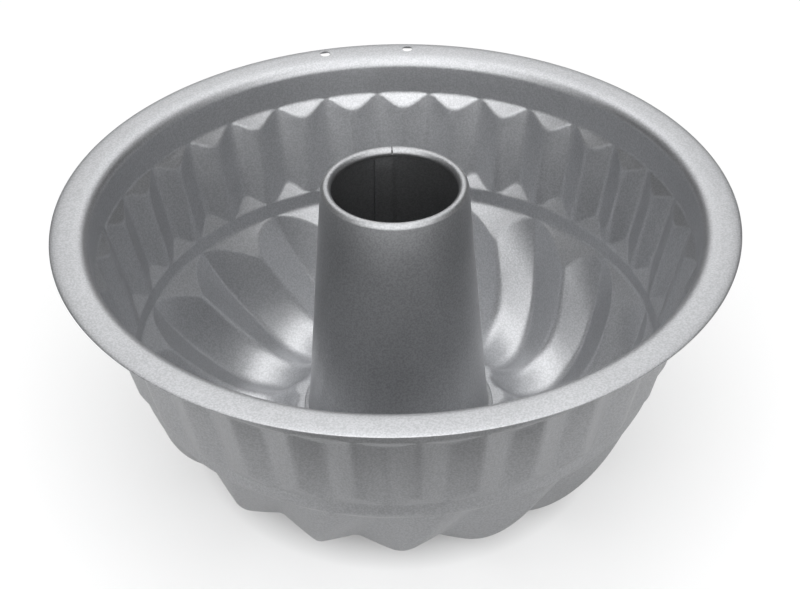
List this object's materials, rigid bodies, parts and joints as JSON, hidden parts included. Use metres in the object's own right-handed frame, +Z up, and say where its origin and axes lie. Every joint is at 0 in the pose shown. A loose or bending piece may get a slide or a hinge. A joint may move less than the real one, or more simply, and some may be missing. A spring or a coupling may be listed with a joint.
{
  "type": "fluted tube pan",
  "caption": "Round cake pan with a flat hemmed rim, fluted side wall, swirled lobed bottom and an open central tube, for baking ring cakes.",
  "frame": {"origin": "on the resting plane, under the axis of the central tube", "axes": "+Z up along the tube, +Y towards the side of the rim with the two hanging holes"},
  "size_m": [0.2498, 0.2498, 0.115],
  "materials": {
    "shell_coating": "satin silver-grey non-stick coating with a fine grain",
    "tube_coating": "satin silver-grey non-stick coating with a fine grain"
  },
  "bodies": {
    "root": {"pan_shell": "shell_coating", "centre_tube": "tube_coating"}
  },
  "joints": []
}
